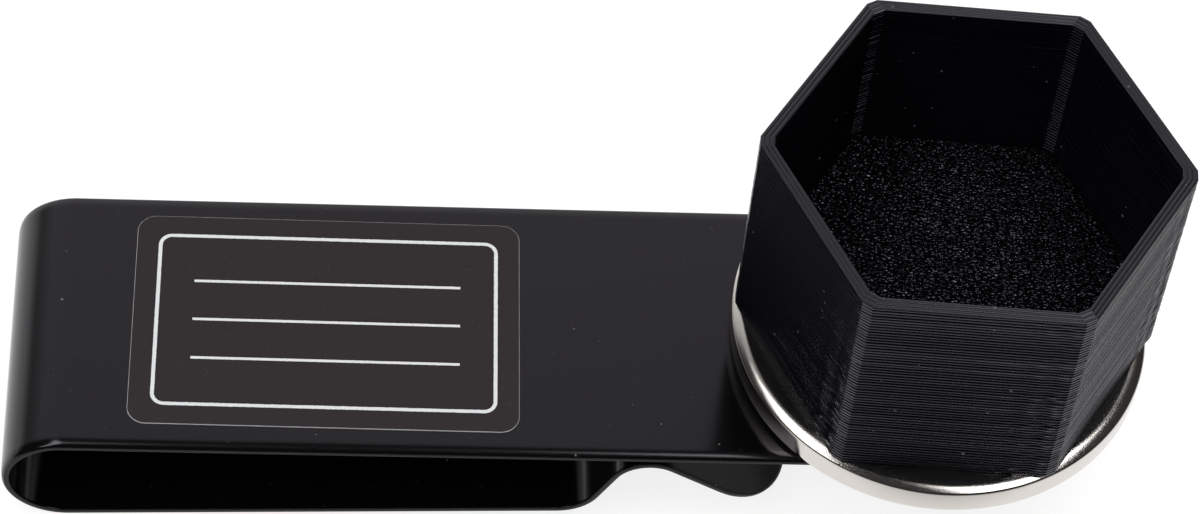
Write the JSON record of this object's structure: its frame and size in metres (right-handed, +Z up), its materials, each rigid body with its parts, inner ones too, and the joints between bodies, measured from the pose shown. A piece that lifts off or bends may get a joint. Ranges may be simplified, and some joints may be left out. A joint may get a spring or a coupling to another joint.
{
  "type": "belt-clip chalk holder",
  "caption": "Bent spring-steel belt clip with a disc magnet on its free end that holds a lift-off hexagonal cup for a piece of cue chalk.",
  "frame": {"origin": "middle of the object's box in X and Y, at the level of the clip's lowest line, the underside of its bend", "axes": "+X along the clip from its bend to the cup, +Y across the strip, +Z up along the cup's and the disc magnet's axis"},
  "size_m": [0.096, 0.035, 0.0355],
  "materials": {
    "black_coat": "smooth satin-gloss black coat on spring steel",
    "label_film": "matt black printed film with a pale cut edge",
    "nickel": "bright nickel plating, faintly rippled",
    "black_print": "black layer-printed plastic with satin layer lines",
    "black_leather": "fine pebble-grain black leather"
  },
  "bodies": {
    "clip": {"clip_plate": "black_coat", "label": "label_film"},
    "arm": {"spring_arm": "black_coat"},
    "disc": {"disc_magnet": "nickel"},
    "cup": {"chalk_cup": "black_print", "cup_magnet": "nickel", "floor_pad": "black_leather"}
  },
  "joints": [
    {"name": "arm_flex", "type": "hinge", "parent": "clip", "child": "arm", "pos_m": [-0.04255, 0, 0.00001], "axis": [0, 1, 0], "range_deg": [0, 8], "stiffness_Nm_per_rad": 5},
    {"name": "disc_swivel", "type": "hinge", "parent": "clip", "child": "disc", "pos_m": [0.02997, 0, 0.0105], "axis": [0, 0, 1], "continuous": true},
    {"name": "cup_lift", "type": "slide", "parent": "disc", "child": "cup", "axis": [0, 0, 1], "range_m": [0, 0.03]}
  ]
}
